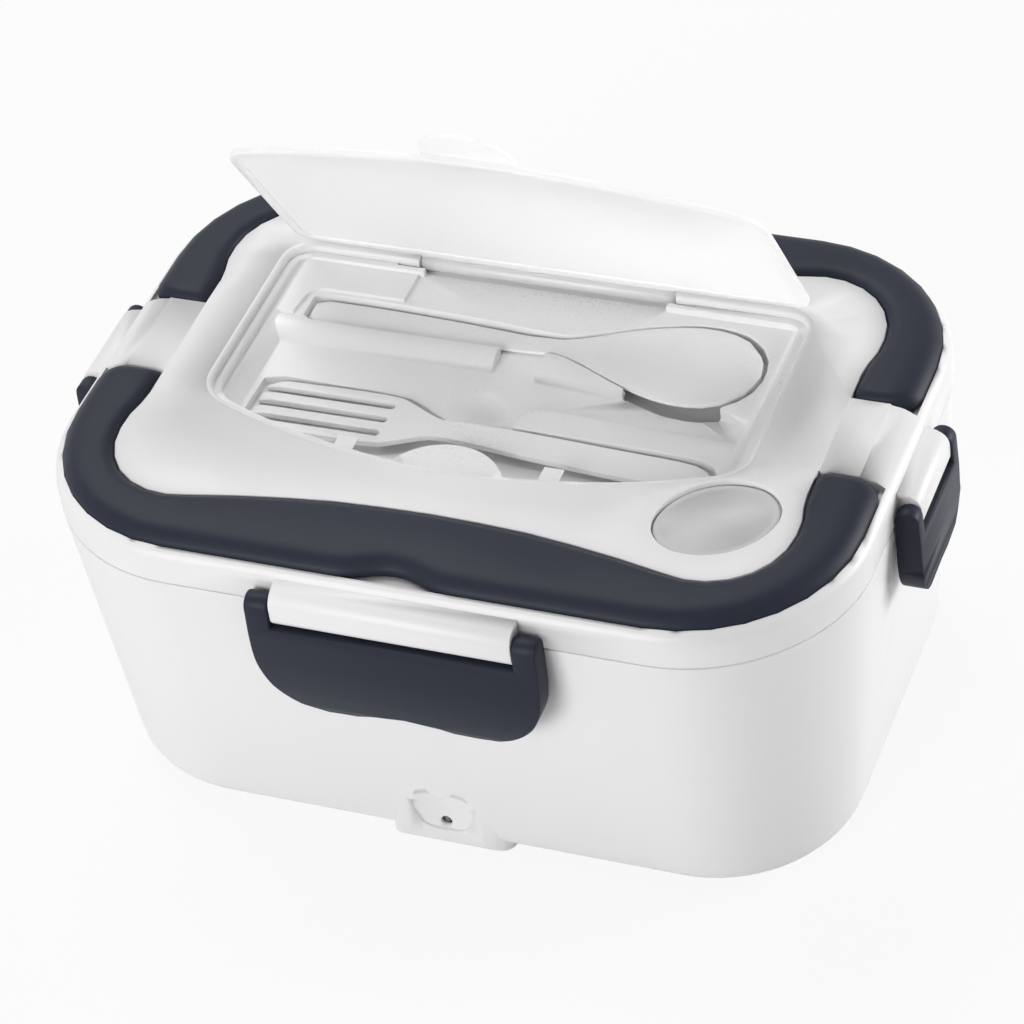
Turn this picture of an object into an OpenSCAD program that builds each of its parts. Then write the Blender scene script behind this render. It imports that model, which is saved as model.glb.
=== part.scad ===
// Electric lunch box: a tapered heated base, and a lid held by four latches that
// carries two folding handle halves, a cutlery tray with a hinged cover and a steam vent.
// Lengths are in millimetres. The origin is on the table, under the middle of the box.

/* [Outline] */
// Length over the lid rim, left to right
rim_len = 231; // [221:0.5:250]
// Depth over the lid rim, front to back
rim_dep = 165.5; // [160:0.5:180]
// Corner radius of the lid rim, seen from above
rim_r = 48; // [44:0.5:52]

/* [Base] */
// Height of the shoulder that the lid closes on, above the table
seam_z = 92; // [88:0.5:110]
// Slope of the side walls from the vertical, in degrees
wall_slope = 5.2; // [3.5:0.1:6]
// Radius of the bottom edge
bottom_r = 9; // [6:0.5:10]
// Wall thickness of the outer shell
wall = 2.2; // [1.8:0.1:2.6]
// Height of the sealing upstand above the shoulder
upstand_h = 3.6; // [3:0.1:4.2]
// Height of the food well floor above the table
well_z = 24; // [23:0.5:30]
// Width of the lamp's pad at the foot of the front wall
pad_w = 26; // [25:0.5:36]
// Width of the inlet's pad at the foot of the rear wall
inlet_pad_w = 38; // [36:0.5:44]
// Height of the pads
pad_h = 24; // [22:0.5:28]

/* [Lid] */
// Height of the lid from the seam to its flat top
lid_h = 14; // [13.6:0.1:16]
// Thickness of the lid's top plate
lid_wall = 2.4; // [2:0.1:2.6]
// Gap between the lid rim and the base shoulder
seam_gap = 0.4; // [0.2:0.05:0.6]
// How far the lid lifts off
lid_lift = 120; // [80:1:160]

/* [Handles] */
// Inset of the handle from the lid rim
handle_inset = 2.75; // [2.5:0.05:3.5]
// Thickness of the handle
handle_t = 5.5; // [5:0.1:6]
// Half the width of the white saddle between the handle ends
saddle_half = 15.2; // [14:0.1:18]
// Depth of the finger scoop in the handle's outer edge
scoop_d = 4; // [2:0.5:5]
// Radius of the handle's pivot stubs
handle_pin_r = 1.3; // [1.1:0.05:1.4]

/* [Latches] */
// Half the width of the front and rear latches
latch_half = 41; // [36:0.5:46]
// Half the width of the side latches
side_latch_half = 18.6; // [16.5:0.1:22]
// Width of a long latch's ear
ear_w = 6.7; // [5:0.1:8]
// Width of a side latch's ear
side_ear_w = 4.6; // [4:0.1:5.5]
// Thickness of a latch, wall to outer face
latch_t = 6.8; // [6.4:0.1:7.4]
// Radius of the latch's pivot stubs
latch_pin_r = 1.3; // [1.1:0.05:1.5]

/* [Cutlery tray] */
// Length of the tray opening
tray_len = 155; // [148:0.5:158]
// Distance of the tray's straight rear edge behind the middle
tray_back = 46; // [43:0.5:48]
// Distance of the tray's curved front edge before the middle
tray_front = 36.8; // [34:0.2:40]
// Shift of the tray to the left, which makes room for the vent
tray_shift = 2.5; // [1:0.1:4]
// Depth of the tray floor below the lid's top
tray_depth = 7.5; // [7:0.1:8]
// Angle of the cover in the photographed pose, measured from closed
cover_open = 58.5; // [40:0.5:80]

/* [Vent] */
// Half the length of the oval vent disc
vent_l = 17.2; // [15:0.1:17.6]
// Half the width of the vent disc
vent_w = 13.6; // [12:0.1:14]
// Distance of the vent's centre to the right of the middle
vent_x = 74.2; // [72:0.2:75]
// Distance of the vent's centre before the middle
vent_y = 38.6; // [38.2:0.2:41]

/* [Food container] */
// Gap between the container and the well
food_gap = 2.4; // [1.5:0.1:4]
// Sheet thickness of the container
sheet = 0.7; // [0.5:0.1:1]

/* [Fits] */
// Gap between parts that move past each other
gap = 0.3; // [0.25:0.05:0.4]
// Radial clearance of a stub in its bore
pin_gap = 0.05; // [0.03:0.01:0.09]

/* [Hidden] */

$fn = 64;
white = "#edebec";
slate = "#3c4049";
steel = "#c9ccd0";
eps = 0.01;
half_len = rim_len / 2;
half_dep = rim_dep / 2;
run_x = half_len - rim_r;
run_y = half_dep - rim_r;

// Height of the table-side face of the base, above the rubber feet
foot_h = 1;
skin_z = foot_h;
lid_top = seam_z + lid_h;
skirt_z = seam_z + seam_gap;

// Outward offset of the outer wall at a height, below the shoulder
function wall_at(z) = -(seam_z - z) * tan(wall_slope);

// A point on an arc
function arc(c, r, a) = [c[0] + r * cos(a), c[1] + r * sin(a)];

// A smooth curve through the given points, with n steps between two of them
function knot(p, i) = p[max(0, min(len(p) - 1, i))];
function blend4(a, b, c, d, t) =
    0.5 * (2 * b + (c - a) * t + (2 * a - 5 * b + 4 * c - d) * t * t
        + (3 * b - a - 3 * c + d) * t * t * t);
function curve(p, n) = concat([for (i = [0:len(p) - 2], k = [0:n - 1])
    blend4(knot(p, i - 1), p[i], p[i + 1], knot(p, i + 2), k / n)], [p[len(p) - 1]]);

// Value of a table of [position, value] pairs at a position
function table(t, x, i = 0) =
    i >= len(t) - 2 || x <= t[i + 1][0]
        ? let (f = max(0, min(1, (x - t[i][0]) / (t[i + 1][0] - t[i][0]))))
            blend4(knot(t, i - 1)[1], t[i][1], t[i + 1][1], knot(t, i + 2)[1], f)
        : table(t, x, i + 1);

// Sweeps a closed profile of [outward offset, height] points round the rim outline
module ring(profile) {
    points = [for (p = profile) [rim_r + p[0], p[1]]];
    for (m = [0, 1])
        mirror([m, 0, 0]) {
            translate([run_x, run_y, 0])
                rotate([90, 0, 0])
                    linear_extrude(2 * run_y)
                        polygon(points);
            for (k = [0, 1])
                mirror([0, k, 0])
                    translate([run_x, run_y, 0])
                        rotate_extrude(angle = 90, $fn = 96)
                            polygon(points);
        }
    for (k = [0, 1])
        mirror([0, k, 0])
            translate([-run_x, run_y, 0])
                rotate([90, 0, 90])
                    linear_extrude(2 * run_x)
                        polygon(points);
}

// The solid inside an outer profile that runs from its lowest to its highest point
module block(profile) {
    low = profile[0][1];
    high = profile[len(profile) - 1][1];
    ring(concat([[-rim_r, low]], profile, [[-rim_r, high]]));
    translate([-run_x, -run_y, low])
        cube([2 * run_x, 2 * run_y, high - low]);
}

// A flat plate with the rim's outline moved by an offset
module plate(offset, low, high) {
    block([[offset, low], [offset, high]]);
}

// Puts a child on each of the four quarters, as mirror images
module quarters() {
    for (m = [0, 1], k = [0, 1])
        mirror([m, 0, 0])
            mirror([0, k, 0])
                children();
}

// A cylinder along X, centred on its place
module bar_x(r, length) {
    rotate([0, 90, 0])
        cylinder(r = r, h = length, center = true);
}

// ---- Shared heights and places ---------------------------------------------

latch_o = gap + latch_t / 2;
latch_z = seam_z + 2.9;
catch_reach = latch_o - 0.4;

// ---- Base ------------------------------------------------------------------

floor_z = skin_z + wall;
fillet_o = wall_at(skin_z + bottom_r);
flange_o = fillet_o - bottom_r - 4;
upstand_o = -3.2;
upstand_t = 2.2;
upstand_z = seam_z + upstand_h;
ledge_z = seam_z - 4;
ledge_o = -10.4;
catch_z = latch_z - 9.7;
catch_t = 2;

function bottom_arc(r, inset) = [for (a = [-90:15:0])
    arc([fillet_o - bottom_r, skin_z + bottom_r], r, a) + [0, inset]];

module shell_wall() {
    inner_r = bottom_r - wall;
    ring(concat(
        [[flange_o, skin_z]],
        bottom_arc(bottom_r, 0),
        [[0, seam_z], [upstand_o, seam_z], [upstand_o, upstand_z - 0.4],
            [upstand_o - 0.4, upstand_z], [upstand_o - upstand_t + 0.4, upstand_z],
            [upstand_o - upstand_t, upstand_z - 0.4], [upstand_o - upstand_t, ledge_z],
            [ledge_o, ledge_z], [ledge_o, ledge_z - 2], [-wall - 1.4, ledge_z - 4]],
        [for (a = [0:-15:-90]) arc([fillet_o - bottom_r, skin_z + bottom_r], inner_r, a)],
        [[flange_o + 2, floor_z], [flange_o + 2, floor_z + 1.6], [flange_o - 3, floor_z + 1.6],
            [flange_o - 3, floor_z], [flange_o, floor_z]]
    ));
}

// The wall runs on straight down over the pad, which keeps a flat for the lamp and the inlet
pad_o = wall_at(pad_h);
pad_y = half_dep + pad_o;

pad_r = 4;
pad_t = 3;

// Side of a pad seen from above, as [outwards from its corner, below its face]
soft_edge = [[6, 9], [4.8, 4.8], [3.4, 2.5], [1.4, 1.25], [-1.6, 0.5], [-5.5, 0.12], [-9, 0]];
firm_edge = [[6, 9], [3, 2.4], [-1, 0.5], [-4, 0]];

module pad_solid(width, side, inset) {
    half = width / 2 - inset;
    face = pad_y - inset;
    left = [for (p = side) [-half - p[0], face - p[1]]];
    intersection() {
        translate([0, 0, skin_z + inset])
            linear_extrude(pad_h - skin_z - 1.6 * inset)
                polygon(concat(left, [for (i = [len(left) - 1:-1:0]) [-left[i][0], left[i][1]]],
                    [[half + 6, pad_y - 26], [-half - 6, pad_y - 26]]));
        translate([-half - 7, 0, 0])
            rotate([90, 0, 90])
                linear_extrude(2 * half + 14)
                    polygon(concat([[pad_y - 27, skin_z + inset]],
                        [for (a = [-90:15:0]) arc([pad_y - pad_r, skin_z + pad_r], pad_r - inset, a)],
                        [[face, pad_h], [pad_y - 27, pad_h]]));
    }
}

// Lens-shaped hollow with two rounded tops round the lamp
lamp_z = 10;
heart_depth = 1.9;
heart_ball = 30;

module heart_hollow() {
    right = curve([[0, 10.1], [2.6, 11.6], [5.2, 12], [7.9, 10.6], [9.2, 7.4], [8.7, 3.4], [7, 0.2],
        [4.4, -1.6], [0, -2]], 4);
    intersection() {
        translate([0, -pad_y - 1, lamp_z])
            rotate([-90, 0, 0])
                linear_extrude(4)
                    polygon(concat([for (p = right) [p[0], -p[1]]],
                        [for (i = [len(right) - 2:-1:1]) [-right[i][0], -right[i][1]]]));
        translate([0, -pad_y + heart_depth - heart_ball, lamp_z + 4.5])
            sphere(r = heart_ball);
    }
}

inlet_w = 33;
inlet_h = 15;
inlet_z = 12.5;
inlet_hole_w = 23;
inlet_hole_h = 12;
inlet_screw = 13.6;
screw_r = 1.4;

module catch_bar(half, outward) {
    union() {
        translate([-half, outward - 2, catch_z])
            cube([2 * half, 2 + catch_reach, catch_t]);
        for (m = [-1, 1])
            translate([m * half * 0.6 - 1, outward - 2, catch_z - 4])
                cube([2, 2 + catch_reach - 1.6, 4.5]);
    }
}

// Ledges that the latches close over, each rooted in a slot of its own shape in the wall
module catches() {
    for (a = [0, 180])
        rotate([0, 0, a])
            catch_bar(latch_half - ear_w - 4, half_dep);
    for (a = [90, 270])
        rotate([0, 0, a])
            catch_bar(side_latch_half - side_ear_w - 3.4, half_len);
}

module latch_catches() {
    color(white)
        union()
            catches();
}

board_w = 24;
board_z = floor_z + 0.5;
board_y = -pad_y + 8.6;

module base_shell() {
    color(white)
        difference() {
            union() {
                shell_wall();
                for (k = [-1, 1])
                    mirror([0, k > 0 ? 0 : 1, 0])
                        difference() {
                            pad_solid(k > 0 ? inlet_pad_w : pad_w, k > 0 ? firm_edge : soft_edge, 0);
                            pad_solid(k > 0 ? inlet_pad_w : pad_w, k > 0 ? firm_edge : soft_edge,
                                pad_t);
                            // Only what lies outside the middle of the sloping wall is kept
                            block(concat([[flange_o + 2, skin_z - 1], [flange_o + 2, skin_z + 1.1]],
                                bottom_arc(bottom_r - 1.1, 0),
                                [[wall_at(pad_h) - 1.1, pad_h], [wall_at(pad_h) - 1.1, pad_h + 4]]));
                        }
                // Rails that hold the lamp board
                for (m = [-1, 1])
                    translate([m * (board_w / 2 + 0.9) - 1.5, -pad_y + 1.6, floor_z])
                        difference() {
                            cube([3, 10.6, 16]);
                            translate([m > 0 ? -1 : 1.6, board_y + pad_y - 1.7, -1])
                                cube([2.4, 1.8, 20]);
                        }
            }
            catches();
            heart_hollow();
            // Lamp hole
            translate([0, -pad_y - 2, lamp_z])
                rotate([-90, 0, 0])
                    cylinder(r = 1.6, h = 8);
            // Inlet cut-out and its two screw holes in the rear pad
            translate([-inlet_hole_w / 2, pad_y - 4, inlet_z - inlet_hole_h / 2])
                cube([inlet_hole_w, 8, inlet_hole_h]);
            for (m = [-1, 1])
                translate([m * inlet_screw, pad_y - 6, inlet_z])
                    rotate([-90, 0, 0])
                        cylinder(r = 1, h = 8);
            // Room inside the pads for the lamp board and the inlet body
            for (k = [-1, 1])
                translate([-board_w / 2, k > 0 ? pad_y - 24 : -pad_y + pad_t, floor_z + 1.6])
                    cube([board_w, 24 - pad_t, pad_h - 10]);
        }
}

post_x = 86;
post_y = 30;
post_r = 4.6;
post_z = floor_z + 2;

plate_l = 112;
plate_d = 72;
plate_rim = 3;
plate_t = 1.3;
heater_l = 64;
heater_d = 24;
heater_h = 6;
heater_z = well_z - 3;
clamp_half = 24;

module rounded_box(l, d, r, low, high) {
    translate([0, 0, low]) {
        for (s = [[l - 2 * r, d], [l, d - 2 * r]])
            translate([-s[0] / 2, -s[1] / 2, 0])
                cube([s[0], s[1], high - low]);
        for (m = [0, 1], k = [0, 1])
            mirror([m, 0, 0])
                mirror([0, k, 0])
                    translate([l / 2 - r, d / 2 - r, 0])
                        rotate_extrude(angle = 90)
                            square([r, high - low]);
    }
}

well_o = ledge_o - 1.8;
well_foot_o = well_o - (seam_z - well_z) * tan(3.6);
liner_t = 2;

module inner_liner() {
    corner = 7;
    color(white)
        difference() {
            union() {
                ring(concat(
                    [[upstand_o - upstand_t - gap, ledge_z],
                        [upstand_o - upstand_t - gap, ledge_z + 2], [well_o, ledge_z + 2]],
                    [for (a = [0:-15:-90]) arc([well_foot_o - corner, well_z + corner], corner, a)],
                    [for (a = [-90:15:0])
                        arc([well_foot_o - corner, well_z + corner], corner + liner_t, a)],
                    [[well_o + liner_t - 0.3, ledge_z]]
                ));
                plate(well_foot_o - corner + eps, well_z - liner_t, well_z);
                // Screw posts for the bottom cover
                quarters()
                    translate([post_x, post_y, post_z])
                        cylinder(r = post_r, h = well_z - liner_t - post_z + eps);
            }
            // Stepped seat of the heating plate
            rounded_box(plate_l + 0.6, plate_d + 0.6, 10, well_z - 1, well_z + 1);
            rounded_box(plate_l - 2 * plate_rim, plate_d - 2 * plate_rim, 8, well_z - 4, well_z);
            quarters()
                translate([post_x, post_y, post_z - 1])
                    cylinder(r = screw_r - 0.25, h = 14);
        }
}

foot_x = 81.5;
foot_y = 48.8;
foot_r = 6;
cover_edge_o = flange_o - gap;
rib_l = rim_len - 111;

module bottom_cover() {
    color(white)
        difference() {
            union() {
                plate(cover_edge_o, skin_z, floor_z);
                quarters()
                    translate([post_x, post_y, floor_z - eps])
                        cylinder(r = post_r + 0.6, h = post_z - floor_z + eps);
                // Stiffening ribs
                for (x = [-30, 0, 30])
                    translate([x - 0.8, -half_dep + 40, floor_z - eps])
                        cube([1.6, rim_dep - 80, 2.4]);
                for (y = [-22, 22])
                    translate([-rib_l / 2, y - 0.8, floor_z - eps])
                        cube([rib_l, 1.6, 2.4]);
            }
            quarters() {
                translate([post_x, post_y, skin_z - 1])
                    cylinder(r = 3.3, h = 1 + wall - 0.2);
                translate([post_x, post_y, skin_z - 1])
                    cylinder(r = screw_r + 0.3, h = 8);
                translate([foot_x, foot_y, skin_z - 1])
                    cylinder(r = foot_r + 0.2, h = 1.8);
            }
            // Cooling slots beside the heater
            for (m = [-1, 1], i = [0:4])
                translate([m * 54 - 0.9 + (i - 2) * 4.5, -9, skin_z - 1])
                    cube([1.8, 18, wall + 2]);
        }
}

module pan_screw(length, head_r) {
    head = 1.5;
    difference() {
        rotate_extrude()
            polygon([[0, 0], [head_r - 0.5, 0], [head_r, 0.5], [head_r, head],
                [screw_r - 0.25, head], [screw_r - 0.25, head + length - 1],
                [0, head + length]]);
        for (a = [0, 90])
            rotate([0, 0, a])
                translate([-1.5, -0.3, -0.1])
                    cube([3, 0.6, 0.9]);
    }
}

module cover_screws() {
    color(steel)
        quarters()
            translate([post_x, post_y, skin_z + wall - 0.2 - 1.5])
                pan_screw(11, 3);
}

module rubber_feet() {
    color("#2b2b2e")
        quarters()
            translate([foot_x, foot_y, 0])
                rotate_extrude()
                    polygon([[0, 0], [foot_r - 1, 0], [foot_r - 0.3, 0.3], [foot_r, 0.9],
                        [foot_r, skin_z + 0.8], [0, skin_z + 0.8]]);
}

module heating_plate() {
    color(steel)
        difference() {
            union() {
                rounded_box(plate_l, plate_d, 9.7, well_z - 1, well_z - 1 + plate_t);
                rounded_box(plate_l - 2 * plate_rim - 0.6, plate_d - 2 * plate_rim - 0.6, 7.7,
                    heater_z, well_z - 1 + eps);
                // Bosses for the clamp's screws
                for (k = [-1, 1])
                    translate([0, k * (clamp_half - 3.5), heater_z - 2])
                        cylinder(r = 3.4, h = 2 + eps);
            }
            for (k = [-1, 1])
                translate([0, k * (clamp_half - 3.5), heater_z - 3])
                    cylinder(r = screw_r - 0.25, h = 4.8);
            // Shallow rings pressed into the top
            for (r = [14, 22])
                translate([0, 0, well_z - 1 + plate_t - 0.25])
                    difference() {
                        cylinder(r = r + 0.7, h = 1);
                        translate([0, 0, -1])
                            cylinder(r = r - 0.7, h = 3);
                    }
        }
}

module ptc_heater() {
    color("#b5b8bc")
        translate([0, 0, heater_z - heater_h])
            difference() {
                translate([-heater_l / 2, -heater_d / 2, 0])
                    cube([heater_l, heater_d, heater_h]);
                // The case is a flat extrusion with a groove along each side
                for (k = [-1, 1])
                    translate([-heater_l / 2 - 1, k * heater_d / 2 - 1, 2])
                        cube([heater_l + 2, 2, 2]);
            }
}

clamp_t = 1.2;
module heater_clamp() {
    low = heater_z - heater_h - clamp_t;
    ear = heater_z - 2 - clamp_t;
    side = heater_d / 2 + 1;
    right = [[side + clamp_t, low], [side + clamp_t, ear], [clamp_half, ear],
        [clamp_half, ear + clamp_t], [side, ear + clamp_t], [side, low + clamp_t]];
    color(steel)
        difference() {
            translate([-6, 0, 0])
                rotate([90, 0, 90])
                    linear_extrude(12)
                        polygon(concat(right, [for (i = [5:-1:0]) [-right[i][0], right[i][1]]]));
            for (k = [-1, 1])
                translate([0, k * (clamp_half - 3.5), ear - 1])
                    cylinder(r = screw_r + 0.2, h = 4);
        }
}

module clamp_screws() {
    color(steel)
        for (k = [-1, 1])
            translate([0, k * (clamp_half - 3.5), heater_z - 2 - clamp_t - 1.5])
                pan_screw(3.6, 2.6);
}

cutout_x = plate_l / 2 - 12;
module thermal_cutout() {
    color("#46382e")
        translate([cutout_x, 0, heater_z])
            rotate([180, 0, 0])
                union() {
                    rotate_extrude()
                        polygon([[0, 0], [7.6, 0], [8, 0.4], [8, 3.6], [7.2, 3.6], [7.2, 8.4],
                            [6.6, 9], [0, 9]]);
                    for (k = [-1, 1])
                        translate([-0.4, k * 4.4 - 2, 8])
                            cube([0.8, 4, 4]);
                }
}

module led_board() {
    color("#2e6b45")
        translate([-board_w / 2 - 0.4, board_y, board_z])
            difference() {
                cube([board_w + 0.8, 1.5, 14]);
                for (x = [-1.27, 1.27])
                    translate([board_w / 2 + 0.4 + x, -1, lamp_z - board_z])
                        rotate([-90, 0, 0])
                            cylinder(r = 0.45, h = 4);
            }
}

lamp_r = 1.5;
module indicator_led() {
    reach = board_y + pad_y - heart_depth - 0.2;
    color("#8d9096")
        translate([0, board_y, lamp_z])
            rotate([90, 0, 0])
                union() {
                    rotate_extrude()
                        polygon(concat([[0, 0.1], [2, 0.1], [2, 1.2], [lamp_r, 1.2]],
                            [for (a = [0:18:90]) arc([0, reach - lamp_r], lamp_r, a)]));
                    for (x = [-1.27, 1.27])
                        translate([x, 0, -2.4])
                            cylinder(r = 0.3, h = 3);
                }
}

pin_pitch = 8.6;
socket_depth = 11;
module power_inlet() {
    body_w = inlet_hole_w - 0.6;
    body_h = inlet_hole_h - 0.6;
    color("#232427")
        translate([0, pad_y, inlet_z])
            rotate([-90, 0, 0]) {
                difference() {
                    union() {
                        translate([-inlet_w / 2, -inlet_h / 2, 0])
                            cube([inlet_w, inlet_h, 1.2]);
                        translate([-body_w / 2, -body_h / 2, -14])
                            cube([body_w, body_h, 14 + eps]);
                    }
                    // Socket with two joined round ends
                    translate([0, 0, 1.3 - socket_depth])
                        linear_extrude(socket_depth) {
                            for (m = [-1, 1])
                                translate([m * pin_pitch / 2, 0])
                                    circle(r = 4.2);
                            square([pin_pitch, 6], center = true);
                        }
                    for (m = [-1, 1])
                        translate([m * inlet_screw, 0, -1])
                            cylinder(r = screw_r - 0.1, h = 4);
                }
                for (m = [-1, 1])
                    translate([m * pin_pitch / 2, 0, -12]) {
                        cylinder(r = 1.2, h = 11);
                        translate([0, 0, 11])
                            cylinder(r1 = 1.2, r2 = 0.7, h = 0.8);
                    }
                for (m = [-1, 1])
                    translate([m * pin_pitch / 2 - 1.6, -0.4, -18])
                        cube([3.2, 0.8, 4.5]);
            }
}

module inlet_screws() {
    color(steel)
        for (m = [-1, 1])
            translate([m * inlet_screw, pad_y + 1.2 + 1.5, inlet_z])
                rotate([90, 0, 0])
                    pan_screw(4.4, 2.2);
}

// Sweeps a round cross-section along a smooth curve through the points
module wire(route, r) {
    sides = 8;
    line = curve(route, 4);
    last = len(line) - 1;
    dir = [for (i = [0:last]) let (d = line[min(last, i + 1)] - line[max(0, i - 1)]) d / norm(d)];
    rings = [for (i = [0:last])
        let (u = cross(dir[i], abs(dir[i][2]) > 0.8 ? [1, 0, 0] : [0, 0, 1]), a = u / norm(u),
            b = cross(dir[i], a))
        [for (k = [0:sides - 1]) line[i] + r * (cos(k * 360 / sides) * a
            + sin(k * 360 / sides) * b)]];
    loft(rings);
}

// Skin over a row of closed outlines that have the same number of points
module loft(rings) {
    n = len(rings[0]);
    last = len(rings) - 1;
    polyhedron([for (one = rings, p = one) p], concat(
        [[for (k = [0:n - 1]) k]],
        [for (i = [0:last - 1], k = [0:n - 1])
            [i * n + k, (i + 1) * n + k, (i + 1) * n + (k + 1) % n]],
        [for (i = [0:last - 1], k = [0:n - 1])
            [i * n + k, (i + 1) * n + (k + 1) % n, i * n + (k + 1) % n]],
        [[for (k = [n - 1:-1:0]) last * n + k]]));
}

lead_r = 0.9;
heater_end_z = heater_z - heater_h / 2;
module heater_leads() {
    tab_y = pad_y - 18;
    m = pin_pitch / 2;
    color("#b9402f") {
        wire([[-m, tab_y, inlet_z], [-m, tab_y - 3, inlet_z], [-12, tab_y - 8, inlet_z - 1],
            [-34, 26, 11], [-42, 10, 13], [-39, 2, heater_end_z],
            [-heater_l / 2 - 2.4, 0, heater_end_z], [-heater_l / 2, 0, heater_end_z]], lead_r);
        wire([[m, tab_y, inlet_z], [m, tab_y - 3, inlet_z], [14, tab_y - 8, inlet_z - 1],
            [36, 26, 9], [cutout_x, 13, 5.6], [cutout_x, 6.4, 4.8], [cutout_x, 4.4, 6.6],
            [cutout_x, 4.4, heater_z - 12]], lead_r);
        wire([[cutout_x, -4.4, heater_z - 12], [cutout_x, -4.4, 7.4], [cutout_x - 2.4, -5.4, 5.6],
            [37.4, -6, 8], [36.4, -4, 14], [35.6, -1, heater_end_z],
            [heater_l / 2 + 1.6, 0, heater_end_z], [heater_l / 2, 0, heater_end_z]], lead_r);
    }
}

module led_leads() {
    start = board_y + 1.5;
    color("#303338")
        for (m = [-1, 1])
            wire([[m * 5, start, lamp_z + 5], [m * 5, start + 3, lamp_z + 5],
                [m * 9, start + 14, 10], [m * 24, -34, 9], [m * 28, -21, 13],
                [m * 28, -heater_d / 2 - 3, heater_z - heater_h + 1],
                [m * 28, -heater_d / 2, heater_z - heater_h + 1]], 0.6);
}

module food_container() {
    top_o = well_o - food_gap;
    foot_o = well_foot_o - food_gap;
    foot = well_z + 0.6;
    top = ledge_z + 2;
    corner = 9;
    color(steel)
        union() {
            ring(concat(
                [[top_o, top], [-8.6, top], [-8.3, top + 0.35], [-8.6, top + sheet],
                    [top_o - sheet - 0.4, top + sheet], [top_o - sheet, top + sheet - 0.4]],
                [for (a = [0:-15:-90]) arc([foot_o - corner, foot + corner], corner - sheet, a)],
                [for (a = [-90:15:0]) arc([foot_o - corner, foot + corner], corner, a)]
            ));
            plate(foot_o - corner + eps, foot, foot + sheet);
        }
}

// ---- Lid -------------------------------------------------------------------

channel_z = lid_top - 4.3;
under_z = channel_z - 1.8;
handle_z = channel_z + gap;
handle_top = handle_z + handle_t;
end_r = handle_top - (lid_top - 2.1);
pivot_z = lid_top - 2.1;
pivot_y = saddle_half + end_r;

// The handle's outer edge, from the middle (0) over the straight (1) and the corner (2)
// to its end at the saddle (3), and the direction that points inwards there
handle_l = half_len - handle_inset;
handle_d = half_dep - handle_inset;
handle_r = rim_r - handle_inset;
function edge_at(u) =
    u <= 1 ? [u * (handle_l - handle_r), -handle_d]
    : u <= 2 ? arc([handle_l - handle_r, handle_r - handle_d], handle_r, -90 + 90 * (u - 1))
    : [handle_l, handle_r - handle_d + (u - 2) * (handle_d - handle_r - saddle_half)];
function inward_at(u) = u <= 1 ? [0, 1] : u <= 2 ? -arc([0, 0], 1, -90 + 90 * (u - 1)) : [-1, 0];

// Width of the handle along its edge: broad in the middle, slim at the corners
handle_w = [[0, 25.2], [0.42, 24], [0.8, 20.3], [1.14, 15.9], [1.42, 13.9], [1.69, 14.1],
    [1.95, 15.8], [2.4, 17.6], [3, 17.6]];
function inner_at(u, extra) = edge_at(u) + (table(handle_w, u) + extra) * inward_at(u);

// Outline of the channel under a handle half, with the saddle side of each end moved by a gap
channel_u = concat([for (i = [0:4]) i / 5], [for (i = [0:8]) 1 + i / 8], [2.25, 2.5, 3]);
function flip_x(points) = [for (i = [len(points) - 1:-1:0]) [-points[i][0], points[i][1]]];
function channel_outline(grow, ends) =
    let (outer = concat([for (u = channel_u) edge_at(u) - grow * inward_at(u)],
            [[handle_l + grow, -saddle_half + ends]]),
        inner = concat([for (u = channel_u) inner_at(u, grow)],
            [[inner_at(3, grow)[0], -saddle_half + ends]]))
    concat(flip_x(outer), outer, [for (i = [len(inner) - 1:-1:0]) inner[i]],
        [for (p = inner) [-p[0], p[1]]]);

function island_outline(inset) =
    let (half = [for (u = channel_u) inner_at(u, inset)])
    concat(half, [for (i = [len(half) - 1:-1:0]) [half[i][0], -half[i][1]]],
        [for (p = half) [-p[0], -p[1]]], [for (i = [len(half) - 1:-1:0]) [-half[i][0], half[i][1]]]);

// The cutlery tray's outline: straight behind, gently curved in front
tray_half = tray_len / 2;
tray_corner = 11;
front_drop = 13.8;
front_r = (pow(tray_half - 7.5, 2) + pow(front_drop, 2)) / (2 * front_drop);
front_c = front_r - tray_front;
corner_y = front_c - sqrt(pow(front_r - tray_corner, 2) - pow(tray_half - tray_corner, 2));
corner_a = asin((tray_half - tray_corner) / (front_r - tray_corner));
function tray_side(inset) = concat(
    [for (a = [90:-18:0]) arc([tray_half - 7, tray_back - 7], 7 - inset, a)],
    [for (a = [0:-12:-90 + corner_a]) arc([tray_half - tray_corner, corner_y],
        tray_corner - inset, a)],
    [for (i = [0:8]) arc([0, front_c], front_r - inset, -90 + corner_a * (1 - i / 8))]);
function tray_outline(inset) =
    let (side = tray_side(inset), n = len(side))
    [for (p = concat(side, [for (i = [n - 2:-1:0]) [-side[i][0], side[i][1]]]))
        [p[0] - tray_shift, p[1]]];

hinge_half = 38;
hinge_x = -tray_shift - 1.2;
hinge_y = tray_back + 2.6;
hinge_z = lid_top - 2.5;
hinge_pin_r = 1.2;
barrel_r = 2.3;
notch_back = hinge_y + 3.6;

module tray_area(inset, low, high) {
    translate([0, 0, low])
        linear_extrude(high - low)
            union() {
                polygon(tray_outline(inset));
                translate([hinge_x - hinge_half - 0.4 + inset, tray_back - 12])
                    square([2 * hinge_half + 0.8 - 2 * inset, notch_back - tray_back + 12 - inset]);
            }
}

// Rounds the rim of the tray opening
module rim_round(r) {
    loft([for (a = [0, 20, 40, 60, 80, 90])
        [for (p = tray_outline(-r * (1 - cos(a)))) [p[0], p[1], lid_top - r + r * sin(a)]]]);
    translate([0, 0, lid_top - eps])
        linear_extrude(2)
            polygon(tray_outline(-r));
}

rim_profile = [[0, 7.1], [-0.3, 8.9], [-1.1, 10.3], [-2.45, 11.3], [-5.5, 12.9], [-9.5, 13.6]];

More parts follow.
